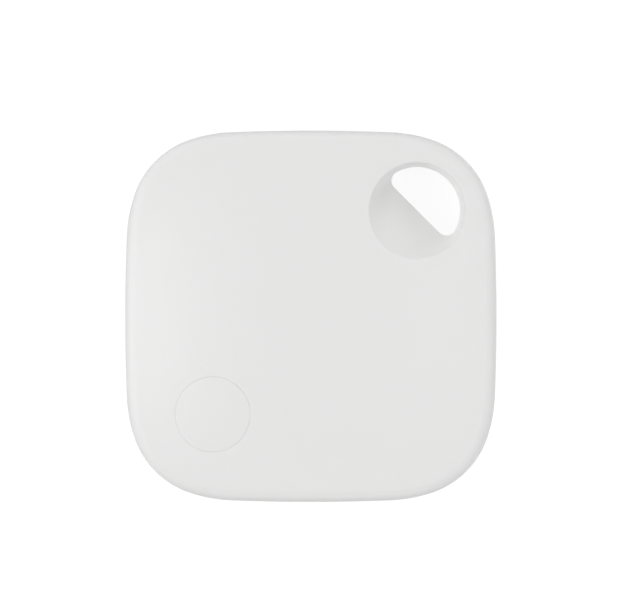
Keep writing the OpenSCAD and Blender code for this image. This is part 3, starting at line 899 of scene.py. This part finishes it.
# Each softbox: its name, its place and its power.
SOFTBOX_SIZE = (0.4, 0.4)
SOFTBOXES = [
    ("left", (-0.45, 0, 0.65), 2.21),
    ("right", (0.45, 0, 0.65), 0.58),
    ("behind", (0, 0.45, 0.65), 0.4),
    ("low_left", (-0.75, 0, 0.25), 0.83),
    ("low_right", (0.75, 0, 0.25), 1.43),
    ("low_front", (0, -0.75, 0.25), 0.99),
    ("low_behind", (0, 0.75, 0.25), 1.03),
]
# Strips of light straight above the left and right sides of the front face.
STRIP_SIZE = (0.004, 0.022)
STRIPS = [
    ("left_strip", (-0.017, 0, 0.0155), 0.000075),
    ("right_strip", (0.0131, 0, 0.0155), 0.000021),
]
SKY = 0.41
# Floor glow: even in the open, with a painted shadow under the tag, the width of its edge, and how far it
# lifts under the eye.
FLOOR_GLOW, PAINTED_SHADOW_GLOW, PAINTED_SHADOW_EYE_LIFT = 0.96, 0.12, 0.92
PAINTED_SHADOW_EDGE, PAINTED_SHADOW_EYE_FADE = 0.6, 0.3
LENS_HEIGHT, SENSOR = 0.9, 36
VIEW_WIDTH = 1.6855 * CASE_W * MM
VIEW_AT = (0.27 * MM, 1.1 * MM)


def floor():
    """A pale floor that glows evenly, with a painted shadow under the tag where the glow drops. The painted
    shadow lifts under the eye, so the floor shines through it.
    """
    bm = bmesh.new()
    bmesh.ops.create_grid(bm, x_segments=1, y_segments=1, size=3.0)
    obj = new_object("floor", bm)
    obj.location.z = -0.02 * MM
    m = Nodes("floor_white_painted_shadow")
    m.feed("Base Color", m.mix(m.noise(400), grey(0.09), grey(0.11)))
    # Painted shadow: the floor's glow drops under the tag. It rises again over the last stretch to the
    # outline, and it is lifted under the eye's opening, fading back towards the eye's rim.
    painted_shadow_lift_in_eye = m.ramp(m.distance(EYE), EYE_R * MM, (EYE_RIM_R + PAINTED_SHADOW_EYE_FADE) * MM, PAINTED_SHADOW_EYE_LIFT, 0)
    outside_painted_shadow = m.math("MAXIMUM", m.rim(PAINTED_SHADOW_EDGE), painted_shadow_lift_in_eye)
    m.feed("Emission Strength", m.ramp(outside_painted_shadow, 0, 1, PAINTED_SHADOW_GLOW, FLOOR_GLOW))
    m.set(Roughness=1.0, Specular_IOR_Level=0.0, Emission_Color=(1, 1, 1, 1))
    obj.data.materials.append(m.material)


def softbox(name, at, size, watts, aim):
    """A rectangular area light that faces the point aim."""
    light = bpy.data.lights.new(name, "AREA")
    light.shape = "RECTANGLE"
    light.size, light.size_y = size
    light.energy = watts
    obj = bpy.data.objects.new(name, light)
    obj.location = at
    obj.rotation_euler = (Vector(aim) - Vector(at)).to_track_quat("-Z", "Y").to_euler()
    obj.visible_camera = False
    bpy.context.scene.collection.objects.link(obj)


def sky():
    """A white ceiling of light: SKY straight overhead, fading to nothing at the horizon."""
    world = bpy.data.worlds.new("studio")
    bpy.context.scene.world = world
    world.use_nodes = True
    tree = world.node_tree
    direction = tree.nodes.new("ShaderNodeTexCoord")
    axes = tree.nodes.new("ShaderNodeSeparateXYZ")
    level = tree.nodes.new("ShaderNodeMath")
    level.operation = "MULTIPLY"
    level.inputs[1].default_value = SKY
    background = tree.nodes["Background"]
    background.inputs["Color"].default_value = (1, 1, 1, 1)
    tree.links.new(direction.outputs["Generated"], axes.inputs["Vector"])
    tree.links.new(axes.outputs["Z"], level.inputs[0])
    tree.links.new(level.outputs["Value"], background.inputs["Strength"])


def camera():
    """Straight above the front face, with a long lens, and a little up and right of the tag's middle."""
    data = bpy.data.cameras.new("camera")
    data.sensor_width = SENSOR
    data.lens = SENSOR * LENS_HEIGHT / VIEW_WIDTH
    data.clip_start, data.clip_end = 0.1, 10
    obj = bpy.data.objects.new("camera", data)
    obj.location = (*VIEW_AT, LENS_HEIGHT + 0.7 * CASE_T * MM)
    bpy.context.scene.collection.objects.link(obj)
    bpy.context.scene.camera = obj


floor()
for name, at, watts in SOFTBOXES:
    softbox(name, at, SOFTBOX_SIZE, watts, (0, 0, 0))
for name, at, watts in STRIPS:
    softbox(name, at, STRIP_SIZE, watts, (at[0], at[1], 0))
sky()
camera()
bpy.context.scene.view_settings.view_transform = "Standard"
